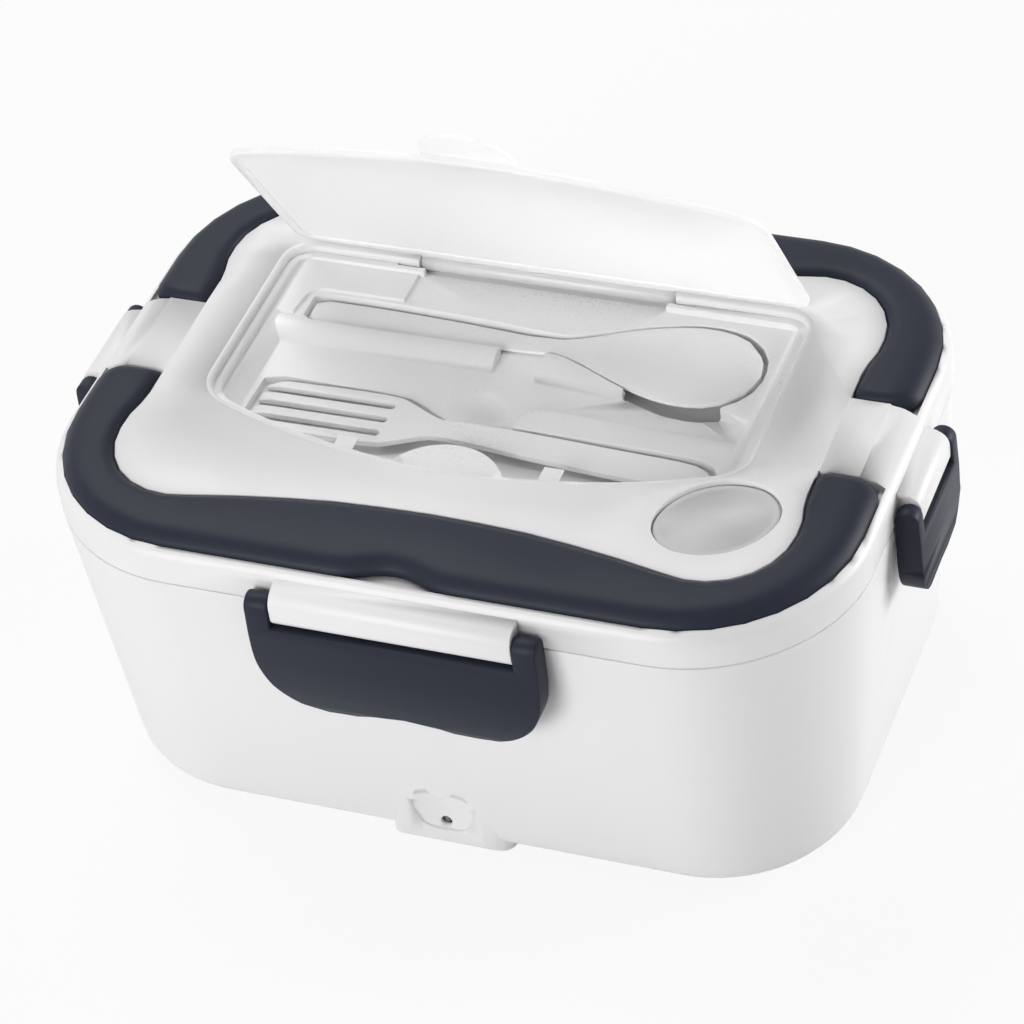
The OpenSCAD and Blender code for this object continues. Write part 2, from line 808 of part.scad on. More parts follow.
module latch_lug(half, outward, bore_depth) {
    top = max(latch_z + 6.2, under_z + 1.2);
    tip = latch_o + 2.9;
    low = latch_z - 5.4;
    r = 3;
    profile = concat(
        [[-6, top], [-3, top], [0, top - 0.3]],
        [for (a = [70:-14:0]) arc([tip - 4.6, latch_z + 0.9], 4.6, a)],
        [for (a = [0:-15:-90]) arc([tip - r, low + r], r, a)],
        [[gap, low], [gap, skirt_z], [-1.2, skirt_z], [-1.2, under_z + 0.3], [-6, under_z + 0.3]]);
    difference() {
        translate([-half, outward, 0])
            rotate([90, 0, 90])
                linear_extrude(2 * half)
                    polygon(profile);
        for (m = [-1, 1])
            translate([m * (half + eps), outward + latch_o, latch_z])
                bar_x(latch_pin_r + pin_gap, 2 * bore_depth);
    }
}

lug_half = latch_half - ear_w - 0.3;
side_lug_half = side_latch_half - side_ear_w - 0.3;
stub_l = 2.6;
lid_screw_at = [[-62, 54], [62, 54], [-45, -49.5], [45, -49.5]];
dish_z = lid_top - 14.7;
dish_t = 1.8;

module pivot_pocket(grow) {
    quarters()
        translate([inner_at(3, 0)[0] - gap - grow, saddle_half - gap - grow, pivot_z - end_r - gap - grow])
            cube([handle_w[8][1] - 2 + 2 * gap + 2 * grow,
                end_r + pivot_z - handle_z + 2 * gap + 2 * grow, end_r + grow]);
}

// The vent's oval of four arcs, seen from above
vent_turn = 36;
vent_end = vent_w - 2.3;
vent_side = (pow(vent_l - vent_end, 2) + vent_w * vent_w - vent_end * vent_end)
    / (2 * (vent_w - vent_end));
function vent_outline(inset) =
    let (reach = vent_l - vent_end, rise = vent_side - vent_w, turn = atan2(rise, reach), n = 14)
    concat([for (i = [0:n - 1]) arc([reach, 0], vent_end - inset, -turn + 2 * turn * i / n)],
        [for (i = [0:n - 1]) arc([0, -rise], vent_side - inset, turn + (180 - 2 * turn) * i / n)],
        [for (i = [0:n - 1]) arc([-reach, 0], vent_end - inset, 180 - turn + 2 * turn * i / n)],
        [for (i = [0:n - 1]) arc([0, rise], vent_side - inset, 180 + turn + (180 - 2 * turn) * i / n)]);
module vent_oval(inset, low, high) {
    translate([vent_x, -vent_y, low])
        rotate([0, 0, vent_turn])
            linear_extrude(high - low)
                polygon(vent_outline(inset));
}

module lid_shell() {
    color(white)
        difference() {
            union() {
                difference() {
                    block(concat([[0, skirt_z]],
                        [for (p = rim_profile) [p[0], seam_z + p[1] * lid_h / 14]],
                        [[-9.6, lid_top]]));
                    block([[-lid_wall, skirt_z - 1], [-lid_wall, under_z]]);
                    translate([0, 0, under_z - eps])
                        linear_extrude(lid_top - lid_wall - under_z + eps)
                            polygon(island_outline(gap + lid_wall));
                }
                // Floors of the four pockets that the handle ends turn in
                intersection() {
                    pivot_pocket(1.5);
                    block([[-lid_wall, under_z - 3], [-lid_wall, channel_z]]);
                }
                // Bosses round the handle's pivot bores
                quarters()
                    translate([inner_at(3, 0)[0] - gap - 5.4, pivot_y - 3.2, under_z])
                        cube([5.4 - eps, 6.4, lid_top - under_z - 1]);
                for (a = [0, 180])
                    rotate([0, 0, a])
                        latch_lug(lug_half, half_dep, stub_l + 0.6);
                for (a = [90, 270])
                    rotate([0, 0, a])
                        latch_lug(side_lug_half, half_len, stub_l + 0.6);
                // Blocks that carry the cover's hinge
                for (m = [-1, 1])
                    translate([hinge_x + m * (hinge_half + 3.4) - 3, hinge_y - 3.6, lid_top - 6.4])
                        cube([6, 7.6, 6]);
                // Cup of the vent
                vent_oval(-gap - 1, lid_top - lid_wall - 1.8, lid_top - lid_wall + 0.2);
                // Screw bosses
                for (at = lid_screw_at)
                    translate([at[0], at[1], dish_z + dish_t + 5])
                        cylinder(r = 3.4, h = lid_top - lid_wall - dish_z - dish_t - 5 + eps);
            }
            // The saddle between the handle ends is hollow from below
            for (m = [0, 1])
                mirror([m, 0, 0])
                    translate([inner_at(3, 0)[0] - 4, 3.6 - saddle_half, under_z - 1])
                        cube([half_len - 8 - inner_at(3, 0)[0] + 4, 2 * saddle_half - 7.2,
                            lid_top - lid_wall - under_z + 1]);
            for (k = [0, 1])
                mirror([0, k, 0])
                    translate([0, 0, channel_z])
                        linear_extrude(lid_h)
                            polygon(channel_outline(gap, gap));
            pivot_pocket(0);
            quarters()
                translate([inner_at(3, 0)[0] - gap, pivot_y, pivot_z])
                    bar_x(handle_pin_r + pin_gap, 8.4);
            // Tray opening, with its rounded rim and the hinge notch
            tray_area(0, lid_top - 8, lid_top + 1);
            rim_round(1.8);
            translate([hinge_x, hinge_y, hinge_z])
                bar_x(hinge_pin_r + pin_gap, 2 * hinge_half + 7);
            // Vent recess and hole
            vent_oval(-gap, lid_top - lid_wall, lid_top + 2);
            translate([vent_x, -vent_y, lid_top - 12])
                cylinder(r = 6.3, h = 14);
            for (at = lid_screw_at)
                translate([at[0], at[1], dish_z])
                    cylinder(r = screw_r - 0.25, h = 12);
        }
}

tray_t = 1.6;
tray_floor = lid_top - tray_depth;
ledge_top = lid_top - lid_wall;
fork_floor = tray_floor - 2.5;
bowl_floor = tray_floor - 3;
tray_low = bowl_floor - tray_t + 0.6;
cutlery_top = tray_floor + 3;

// Cutlery, laid out along X from its left end; the tray's pockets follow the same outlines
fork_x = -69;
fork_y = -13.2;
fork_turn = -1.9;
fork_l = 134;
fork_half = [[0, 7.8], [2.3, 8.7], [6, 9.8], [30, 10.2], [41, 9.6], [47, 7], [54, 3.8], [60, 3.6],
    [80, 4.6], [118, 5.2], [fork_l - 5.5, 4.6], [fork_l - 1.5, 2.8], [fork_l, 0.5]];
spoon_x = -67;
spoon_y = 25.4;
spoon_turn = -0.9;
spoon_l = 133.5;
spoon_half = [[0, 3.2], [3, 4.8], [27, 5], [57, 4], [72, 3], [79, 4.4], [92, 10.2], [105, 14.8],
    [115, 16.2], [124, 14.6], [spoon_l - 4, 10.6], [spoon_l - 1, 5.6], [spoon_l, 0.8]];

function both_sides(t, grow) =
    let (n = 2, xs = [for (i = [0:len(t) - 2], k = [0:n - 1])
            t[i][0] + (t[i + 1][0] - t[i][0]) * k / n],
        all = concat(xs, [t[len(t) - 1][0]]))
    concat([for (x = all) [x + (x > t[3][0] ? grow : -grow), -table(t, x) - grow]],
        [for (i = [len(all) - 1:-1:0])
            [all[i] + (all[i] > t[3][0] ? grow : -grow), table(t, all[i]) + grow]]);

// Outline of the spoon from its neck to the end of its bowl
function bowl_outline(grow) = [for (p = both_sides(spoon_half, grow)) if (p[0] > 76) p];

module tray_hollow() {
    inner = 2.2;
    from_wall = -tray_shift - tray_half;
    // The compartment down to its middle floor, with the wall sloping at both short ends
    difference() {
        tray_area(inner, tray_floor, ledge_top + 1);
        for (m = [-1, 1])
            translate([-tray_shift + m * (tray_half - inner), 60, 0])
                rotate([90, 0, 0])
                    linear_extrude(120)
                        polygon([[m, ledge_top - 0.4], [-m * 1.2, ledge_top - 0.4],
                            [-m * 4.6, tray_floor + 1.6], [-m * 6.6, tray_floor - 1],
                            [m, tray_floor - 1]]);
        // Rounded ridge before the spoon's handle, level with the shelf behind it
        translate([from_wall, 0, 0])
            rotate([90, 0, 90])
                linear_extrude(tray_half - 5.5)
                    polygon([[60, tray_floor - 1], [60, cutlery_top], [20, cutlery_top],
                        [18.4, cutlery_top + 0.4], [16.6, cutlery_top + 0.3],
                        [14.8, cutlery_top - 0.5], [13.2, tray_floor + 1.4], [12, tray_floor + 0.3],
                        [10, tray_floor - 1]]);
        // Shelf round the spoon's neck and bowl, up to the right wall
        translate([0, 0, tray_floor - 1])
            linear_extrude(cutlery_top - tray_floor + 1)
                polygon([[-10, 60], [-10, 27], [5, 27], [5, 10.6], [31, 8.8], [60, 7.6], [71, 4.9],
                    [80, 4.9], [80, 60]]);
        // The shelf is one step higher at the left, round the end of the spoon's handle
        translate([0, 0, cutlery_top - 1])
            linear_extrude(2.1)
                polygon(concat([[-41.5, 60], [-41.5, 32.2]],
                    [for (a = [90:15:180]) arc([-65, 27], 5.2, a)],
                    [[-71, 20.6], [-82, 20.6], [-82, 60]]));
        // Low plateau between the bowl and the fork's handle
        translate([0, 0, tray_floor - 1])
            linear_extrude(2.1)
                polygon([[6, -30], [6, -7], [7.2, -3], [9.4, -1.2], [12, -0.8], [80, -3], [80, -30]]);
        // Half-round rest for the cover's tab, and two small rests beside it
        translate([-tray_shift - 1, -tray_front - 5.6, ledge_top - 1.6])
            cylinder(r = 18, h = 3);
        for (x = [-34.5, 25])
            translate([x - 2.8, -tray_front - 1, ledge_top - 1.6])
                cube([5.6, 10.4, 1.6]);
    }
    intersection() {
        tray_area(inner + 0.2, bowl_floor - 1, ledge_top - 0.4);
        union() {
            translate([spoon_x, spoon_y, 0])
                rotate([0, 0, spoon_turn]) {
                    // Slot of the spoon, deeper under its bowl
                    translate([0, 0, tray_floor])
                        linear_extrude(8)
                            polygon(both_sides(spoon_half, 1.1));
                    translate([0, 0, bowl_floor])
                        linear_extrude(8)
                            polygon(bowl_outline(1.1));
                    // Room for a fingertip before the bowl
                    intersection() {
                        translate([0, 0, bowl_floor])
                            linear_extrude(8)
                                polygon(bowl_outline(3.1));
                        translate([98.6, -40, 0])
                            cube([28.6, 36, lid_top]);
                    }
                }
            // Fork pocket, open towards the front wall
            translate([fork_x, fork_y, fork_floor])
                rotate([0, 0, fork_turn])
                    linear_extrude(8)
                        union() {
                            polygon(both_sides(fork_half, 1.4));
                            translate([8, -30])
                                square([fork_l - 16, 30]);
                        }
            // Finger hollow behind the fork's neck
            translate([-6, -4.4, tray_floor + 15.4])
                sphere(r = 18);
        }
    }
}

module cutlery_tray() {
    color("#e9e8ea")
        difference() {
            union() {
                tray_area(0.6, tray_low, ledge_top);
                difference() {
                    intersection() {
                        tray_area(-3.4, ledge_top - tray_t, ledge_top);
                        linear_extrude(lid_top)
                            polygon(island_outline(2 * gap + lid_wall));
                    }
                    vent_oval(-2 * gap - 1, 0, 2 * lid_top);
                    for (m = [-1, 1])
                        translate([hinge_x + m * (hinge_half + 3.4) - 3.3, hinge_y - 4, 0])
                            cube([6.6, 8.2, 2 * lid_top]);
                }
            }
            tray_hollow();
            // The floor under the hinge steps down to clear the barrel
            translate([hinge_x - hinge_half - 0.4 + 1.2, hinge_y - 3, hinge_z - barrel_r - 0.5])
                cube([2 * hinge_half + 0.8 - 2.4, 5.6, 8]);
            for (m = [-1, 1])
                translate([hinge_x + m * (hinge_half + 0.4) - 1.4, hinge_y - 3, hinge_z - 2.8])
                    cube([2.8, 6, 8]);
        }
}

seal_z = upstand_z + 0.2;
module lid_liner() {
    wall_o = -17;
    color(white)
        difference() {
            union() {
                ring([[-lid_wall - 0.3, under_z], [-lid_wall - 0.3, under_z - dish_t],
                    [-6.9, under_z - dish_t], [-6.9, seal_z + 0.4], [-8.1, seal_z + 0.4],
                    [-8.1, under_z - dish_t], [wall_o + dish_t, under_z - dish_t - 0.6],
                    [wall_o + dish_t - 1, dish_z], [wall_o - 2, dish_z], [wall_o - 2, dish_z + dish_t],
                    [wall_o - 0.6, dish_z + dish_t], [wall_o, under_z - 1], [wall_o, under_z]]);
                plate(wall_o - 2 + eps, dish_z, dish_z + dish_t);
                for (at = lid_screw_at)
                    translate([at[0], at[1], dish_z])
                        cylinder(r = 4.4, h = dish_t + 5);
                // Rim round the vent hole
                translate([vent_x, -vent_y, dish_z])
                    cylinder(r = 8, h = 4);
            }
            pivot_pocket(1.5 + gap);
            for (at = lid_screw_at)
                translate([at[0], at[1], dish_z - 1]) {
                    cylinder(r = 3.2, h = 1 + 2.2);
                    cylinder(r = screw_r + 0.3, h = 12);
                }
            translate([vent_x, -vent_y, dish_z - 1])
                cylinder(r = 6.3, h = 8);
        }
}

module lid_seal() {
    color("#d9dadb")
        ring([[-2.7, under_z - dish_t], [-6.6, under_z - dish_t], [-6.6, seal_z + 0.5],
            [-6.1, seal_z], [-3.3, seal_z], [-2.7, seal_z + 0.5]]);
}

module lid_screws() {
    color(steel)
        for (at = lid_screw_at)
            translate([at[0], at[1], dish_z + 2.2 - 1.5])
                pan_screw(9.6, 2.8);
}

module vent_plug() {
    seat = lid_top - lid_wall;
    color("#d2d2d4")
        union() {
            difference() {
                union() {
                    vent_oval(0, seat, seat + 0.9);
                    vent_oval(0.4, seat + 0.9 - eps, seat + 1.3);
                }
                // The middle is a shallow dish
                vent_oval(2.4, seat + 1, seat + 3);
            }
            // Hollow stem with a snap bead
            translate([vent_x, -vent_y, 0])
                rotate_extrude($fn = 96)
                    polygon([[0, seat + 0.2], [6, seat + 0.2], [6, seat - 2.6], [6.15, seat - 3],
                        [6, seat - 3.4], [5.8, dish_z], [4.6, dish_z], [4.6, seat - 0.6],
                        [0, seat - 0.6]]);
        }
}

// ---- Handles ---------------------------------------------------------------

// Height of the handle's top over its width: softly rounded outside, crowned in the middle
function crown(f, w) = let (d = f * w)
    d < 6 ? 1 - 0.62 * pow(1 - d / 6, 2.4) : w - d < 3 ? 1 - 0.34 * pow(1 - (w - d) / 3, 2.2) : 1;

corner_end = 6.5;
function scoop_at(x) = abs(x + 2) < 17 ? scoop_d * pow(cos(90 * (x + 2) / 17), 2) : 0;
function end_cut(y) = let (t = y + saddle_half + corner_end)
    t > 0 ? corner_end - sqrt(max(0, pow(corner_end, 2) - t * t)) : 0;

// Cross-section of the handle at one place along its edge
section_f = [0, 0, 0.03, 0.08, 0.16, 0.28, 0.5, 0.72, 0.86, 0.95, 1, 1];
function handle_section(u, y, side) =
    let (edge = y == undef ? edge_at(u) : [handle_l, y],
        inner = y == undef ? inner_at(u, 0) : [handle_l - table(handle_w, 3), y],
        cut = (y == undef ? scoop_at(side * edge[0]) : 0) + end_cut(edge[1]),
        span = inner - edge,
        w = norm(span),
        start = edge + span * cut / w,
        over = max(0, edge[1] + pivot_y),
        bow = over > 0 ? sqrt(max(0, end_r * end_r - over * over)) : end_r,
        low = max(handle_z, pivot_z - bow),
        high = min(handle_top, pivot_z + bow))
    [for (i = [0:len(section_f) - 1])
        let (f = section_f[i],
            p = start + (inner - start) * f,
            z = i == 0 || i == len(section_f) - 1 ? low
                : low + (high - low) * crown(f, w - cut))
        [side * p[0], p[1], z]];

handle_u = concat([for (i = [1:8]) i / 8 * 0.28], [0.42, 0.6, 0.8], [for (i = [0:7]) 1 + i / 8],
    [2, 2.3]);
end_y = [for (a = [0, 20, 40, 58, 74, 86]) -pivot_y + end_r * sin(a)];

module handle() {
    right = concat([for (u = handle_u) handle_section(u, undef, 1)],
        [handle_section(3, -pivot_y - 2.6, 1)], [for (y = end_y) handle_section(3, y, 1)]);
    left = concat([for (u = handle_u) handle_section(u, undef, -1)],
        [handle_section(3, -pivot_y - 2.6, -1)], [for (y = end_y) handle_section(3, y, -1)]);
    color(slate)
        union() {
            loft(concat([for (i = [len(left) - 1:-1:0]) left[i]],
                [handle_section(0, undef, 1)], right));
            for (m = [-1, 1])
                translate([m * (inner_at(3, 0)[0] - 1), -pivot_y, pivot_z])
                    bar_x(handle_pin_r, 2 * stub_l + 1);
        }
}

module front_handle() {
    handle();
}

module rear_handle() {
    mirror([0, 1, 0])
        handle();
}

// ---- Latches ---------------------------------------------------------------

// Outline of a latch from its middle to its ear, as [across, below the pivot]
long_knots = [[0, -32.7], [7, -33.4], [14, -34.9], [20.5, -35.5], [27, -34.5], [33, -31.5],
    [37.5, -26.9], [40.3, -21], [41.3, -15], [41.5, -9]];
short_knots = [[0, -28.6], [6, -28.8], [11.5, -28], [15.6, -25], [17.8, -20], [18.5, -14],
    [18.6, -9]];

function latch_outline(knots, half, inset) =
    let (line = curve(knots, 3), last = knots[len(knots) - 1][0], k = (half - inset) / last,
        right = concat([for (p = line) [p[0] * k, p[1] + (p[1] < -14 ? inset : 0)]],
            [[half - inset, 6]]))
    concat(right, [for (i = [len(right) - 1:-1:1]) [-right[i][0], right[i][1]]]);

// A latch, seen with its pivot at the origin and its outer face towards +Y
module latch(knots, half, ear) {
    back = -latch_t / 2;
    face = latch_t / 2;
    skin = 2.2;
    mid = half - ear - 1.4;
    color(slate)
        difference() {
            union() {
                difference() {
                    intersection() {
                        rotate([90, 0, 0])
                            linear_extrude(20, center = true)
                                polygon(latch_outline(knots, half, 0));
                        rotate([90, 0, 90])
                            linear_extrude(2 * half + 2, center = true)
                                polygon(concat(
                                    [for (a = [180:-15:0]) arc([0, 0], face, a)],
                                    [[face + 0.35, -9], [face + 0.4, -18], [face, -27],
                                        [face - 0.9, -33], [face - 2.4, -36.5], [back, -36.5]]));
                    }
                    // Notch that the white lug sits in
                    translate([-half + ear, -20, -latch_notch])
                        cube([2 * (half - ear), 40, 40]);
                    // Hollow back
                    translate([0, face - skin, 0])
                        rotate([90, 0, 0])
                            linear_extrude(20)
                                polygon([for (p = latch_outline(knots, half, 1.8))
                                    [p[0], min(p[1], -latch_notch - 1.6)]]);
                    // Open from below, so that the lid lifts off past the catch
                    translate([-mid, -20, -60])
                        cube([2 * mid, 20 + 0.1, 60]);
                }
                // Hooking rib
                translate([-mid + 1.6, 0, catch_z - latch_z - 2.6])
                    cube([2 * mid - 3.2, face - skin + eps, 1.8]);
                for (m = [-1, 1])
                    translate([m * (half - ear + 1 - (stub_l + 1) / 2), 0, 0])
                        bar_x(latch_pin_r, stub_l + 1);
            }
        }
}

latch_notch = 5.8;

module place_latch(turn, outward) {
    rotate([0, 0, turn])
        translate([0, outward + latch_o, latch_z])
            children();
}

module front_latch() {
    place_latch(180, half_dep)
        latch(long_knots, latch_half, ear_w);
}

module rear_latch() {
    place_latch(0, half_dep)
        latch(long_knots, latch_half, ear_w);
}

module left_latch() {
    place_latch(90, half_len)
        latch(short_knots, side_latch_half, side_ear_w);
}

module right_latch() {
    place_latch(270, half_len)
        latch(short_knots, side_latch_half, side_ear_w);
}

// ---- Cover and cutlery -----------------------------------------------------

cover_t = 1.8;
cover_z = ledge_top + 0.5;
tab_r = 13.5;

module tab_outline(depth) {
    intersection() {
        translate([-tray_shift - 1, -tray_front + 1])
            circle(r = tab_r);
        translate([-50, -tray_front - 30])
            square([100, 30 + depth]);
    }
}

module cutlery_cover() {
    clear = 0.6;
    color([0.9, 0.91, 0.92, 0.6])
        translate([0, hinge_y, hinge_z])
            rotate([-cover_open, 0, 0])
                translate([0, -hinge_y, -hinge_z])
                    difference() {
                        union() {
                            translate([0, 0, cover_z])
                                linear_extrude(cover_t)
                                    polygon(tray_outline(clear));
                            // Finger tab, one step up so that it lies over the lid
                            translate([0, 0, cover_z + cover_t - eps])
                                linear_extrude(lid_top - cover_z - cover_t + gap + 1.4)
                                    tab_outline(4);
                            // Hinge tongue and barrel
                            translate([hinge_x - hinge_half + 0.2, tray_back - 4, cover_z])
                                cube([2 * hinge_half - 0.4, hinge_y - tray_back + 4, cover_t]);
                            translate([hinge_x, hinge_y, hinge_z])
                                bar_x(barrel_r, 2 * hinge_half - 0.2);
                            translate([hinge_x, hinge_y, hinge_z])
                                bar_x(hinge_pin_r, 2 * hinge_half + 5.6);
                        }
                        translate([0, 0, cover_z - 1])
                            linear_extrude(lid_top - cover_z + gap + 1)
                                difference() {
                                    translate([-60, -tray_front - 30])
                                        square([120, 60]);
                                    polygon(tray_outline(clear));
                                    translate([-60, -tray_front + 3])
                                        square([120, 60]);
                                }
                        // The middle is thinner than the border
                        translate([0, 0, cover_z - 1])
                            linear_extrude(1.6)
                                polygon(tray_outline(clear + 3.2));
                    }
}

spoon_t = 1.6;
module spoon() {
    bowl_start = 83;
    bowl_mid = 110.5;
    depth = 5.4;
    xs = concat([0, 1.2, 3, 8], [for (i = [1:6]) 8 + i * 11], [for (i = [1:12]) 74 + i * 4.75],
        [spoon_l - 0.9, spoon_l]);
    fs = [-1, -0.86, -0.55, 0, 0.55, 0.86, 1];
    color("#ecebed")
        translate([spoon_x, spoon_y, tray_floor])
            rotate([0, 0, spoon_turn])
                loft([for (x = xs)
                    let (half = table(spoon_half, x),
                        bowl = x > bowl_start ? pow(max(0, 1 - pow((x - bowl_mid) / 28, 2)), 1.05) : 0,
                        lift = 0.25 + (x > 60 ? 1.1 * (1 - cos(min(180, (x - 60) * 5))) / 2 : 0))
                    concat(
                        [for (f = fs) [x, f * half, lift + 0.35 * pow(f, 4)
                            - bowl * depth * (1 - f * f) * 0.75]],
                        [for (i = [6:-1:0]) let (f = fs[i])
                            [x, f * half, lift + spoon_t * (1 - 0.35 * f * f * (x < 70 ? 1 : 0))
                                - bowl * (depth * 0.86) * (1 - f * f) * 0.92]])]);
}

module fork() {
    thick = 1.8;
    tine_gap = 2.3;
    pitch = 5.7;
    gap_end = 39;
    color("#e9e8ea")
        translate([fork_x, fork_y, fork_floor + gap])
            rotate([0, 0, fork_turn])
                intersection() {
                    linear_extrude(12)
                        difference() {
                            polygon(both_sides(fork_half, 0));
                            for (i = [-1:1])
                                translate([0, i * pitch]) {
                                    translate([-1, -tine_gap / 2])
                                        square([gap_end + 1, tine_gap]);
                                    translate([gap_end, 0])
                                        circle(r = tine_gap / 2, $fn = 24);
                                }
                        }
                    // Side view: the tines dip and the neck arches
                    translate([0, 30, 0])
                        rotate([90, 0, 0])
                            linear_extrude(60)
                                polygon(concat(
                                    [for (x = [0:6:fork_l]) [x, fork_rise(x)]], [[fork_l, fork_rise(fork_l)]],
                                    [[fork_l, fork_rise(fork_l) + thick]],
                                    [for (x = [fork_l - 4:-6:0]) [x, fork_rise(x) + thick]],
                                    [[0, fork_rise(0) + 0.9]]));
                }
}

function fork_rise(x) = x < 60 ? 2.2 * pow(sin(min(90, 3 + x * 1.6)), 1.5) * (1 - 0.25 * sin(x * 3))
    : 2.2 - 1.4 * (1 - cos(min(180, (x - 60) * 3))) / 2;

base_shell();
latch_catches();
inner_liner();
bottom_cover();
cover_screws();
rubber_feet();
heating_plate();
ptc_heater();
heater_clamp();
clamp_screws();
thermal_cutout();
led_board();
indicator_led();
power_inlet();
inlet_screws();
heater_leads();
led_leads();
food_container();
lid_shell();
cutlery_tray();
lid_liner();
lid_seal();
lid_screws();
vent_plug();
front_handle();
rear_handle();
front_latch();
rear_latch();
left_latch();
right_latch();
cutlery_cover();
spoon();
fork();
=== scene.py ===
import math

import bmesh
import bpy
from mathutils import Matrix, Vector
from mathutils.bvhtree import BVHTree
from mathutils.kdtree import KDTree


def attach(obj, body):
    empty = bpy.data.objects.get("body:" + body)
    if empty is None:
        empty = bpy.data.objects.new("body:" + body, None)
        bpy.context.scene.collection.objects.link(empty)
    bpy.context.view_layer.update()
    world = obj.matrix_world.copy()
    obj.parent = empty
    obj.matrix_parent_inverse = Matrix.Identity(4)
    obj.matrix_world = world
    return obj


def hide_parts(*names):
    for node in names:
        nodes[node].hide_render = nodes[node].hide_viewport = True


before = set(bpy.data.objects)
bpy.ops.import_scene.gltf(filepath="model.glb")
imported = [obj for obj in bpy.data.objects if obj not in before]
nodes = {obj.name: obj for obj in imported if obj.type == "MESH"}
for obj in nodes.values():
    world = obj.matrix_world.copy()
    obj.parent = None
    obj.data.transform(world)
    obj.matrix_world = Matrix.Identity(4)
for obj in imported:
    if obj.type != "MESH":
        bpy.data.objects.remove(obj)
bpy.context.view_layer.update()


# ---- Base shell and latch catches --------------------------------------------------
# The tapered outer body is one injection moulding of white polypropylene, with the
# four catches on its rim. The tool leaves a fine satin texture and soft edges.

def linear(hex_colour):
    """An sRGB hex colour as linear red, green, blue and alpha."""
    values = [int(hex_colour[i:i + 2], 16) / 255 for i in (1, 3, 5)]
    return [v / 12.92 if v <= 0.04045 else ((v + 0.055) / 1.055) ** 2.4 for v in values] + [1.0]


def add(owner, kind, settings=None, inputs=None, links=None):
    """Adds a shader node to a material or world: its properties, its sockets' values and its links."""
    node = owner.node_tree.nodes.new(kind)
    for key, value in (settings or {}).items():
        setattr(node, key, value)
    for key, value in (inputs or {}).items():
        node.inputs[key].default_value = value
    for key, source in (links or {}).items():
        owner.node_tree.links.new(source, node.inputs[key])
    return node


def start_material(name):
    """A node material with nothing in it yet."""
    material = bpy.data.materials.new(name)
    material.use_nodes = True
    material.node_tree.nodes.clear()
    return material


def finish_material(material, shader):
    """Links a shader to the material's output."""
    output = add(material, "ShaderNodeOutputMaterial")
    material.node_tree.links.new(shader.outputs[0], output.inputs["Surface"])


def moulded(name, colour, roughness, grain_mm, grain_depth_mm, shift=0.02, ior=1.49, extra=None):
    """Moulded plastic or rubber: the tool's grain, and slow changes of gloss and tone."""
    material = start_material(name)
    flow_patches_per_m = 14.0
    gloss_spread = 0.05
    place = add(material, "ShaderNodeTexCoord")
    grain = add(material, "ShaderNodeTexNoise", inputs={"Scale": 1000 / grain_mm, "Detail": 3.0},
                links={"Vector": place.outputs["Object"]})
    cloud = add(material, "ShaderNodeTexNoise", inputs={"Scale": flow_patches_per_m, "Detail": 2.0},
                links={"Vector": place.outputs["Object"]})
    shade = linear(colour)
    tone = add(material, "ShaderNodeMix", {"data_type": "RGBA"}, links={"Factor": cloud.outputs["Fac"]})
    tone.inputs["A"].default_value = [c * (1 - shift) for c in shade[:3]] + [1]
    tone.inputs["B"].default_value = [min(1, c * (1 + shift)) for c in shade[:3]] + [1]
    # The gloss follows six parts of grain and four parts of flow
    speckle = add(material, "ShaderNodeMath", {"operation": "MULTIPLY_ADD"},
                  {1: 0.6, 2: 0.0}, {0: grain.outputs["Fac"]})
    mixed = add(material, "ShaderNodeMath", {"operation": "MULTIPLY_ADD"},
                {1: 0.4}, {0: cloud.outputs["Fac"], 2: speckle.outputs["Value"]})
    gloss = add(material, "ShaderNodeMapRange",
                inputs={"From Min": 0.25, "From Max": 0.75,
                        "To Min": roughness - gloss_spread, "To Max": roughness + gloss_spread},
                links={"Value": mixed.outputs["Value"]})
    bump = add(material, "ShaderNodeBump", inputs={"Strength": 0.3, "Distance": grain_depth_mm / 1000},
               links={"Height": grain.outputs["Fac"]})
    constants = {"IOR": ior}
    constants.update(extra or {})
    shader = add(material, "ShaderNodeBsdfPrincipled", inputs=constants,
                 links={"Base Color": tone.outputs["Result"], "Roughness": gloss.outputs["Result"],
                        "Normal": bump.outputs["Normal"]})
    finish_material(material, shader)
    return material


def paint(names, material):
    """Gives CAD nodes a material in place of their plain one."""
    for name in names:
        mesh = nodes[name].data
        mesh.materials.clear()
        mesh.materials.append(material)


def show(build, name, material, body, stands_for, smooth=40):
    """Makes a piece of a bmesh: smooth but for its sharp edges, on its body, in place of a node."""
    mesh = bpy.data.meshes.new(name)
    build.to_mesh(mesh)
    build.free()
    for face in mesh.polygons:
        face.use_smooth = True
    mesh.set_sharp_from_angle(angle=math.radians(smooth))
    mesh.materials.append(material)
    piece = bpy.data.objects.new(name, mesh)
    bpy.context.collection.objects.link(piece)
    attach(piece, body)
    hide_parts(stands_for)


def spoilt_places(build, surface, radius):
    """The places where a rounded copy leaves the surface or folds over itself."""
    farthest = 0.75 * radius
    fold = math.radians(150)
    sliver_m2 = 1e-8
    places = [v.co.copy() for v in build.verts if surface.find_nearest(v.co)[3] > farthest]
    for edge in build.edges:
        if edge.is_manifold and edge.calc_face_angle() > fold:
            if min(f.calc_area() for f in edge.link_faces) > sliver_m2:
                places += [v.co.copy() for v in edge.verts]
    return places


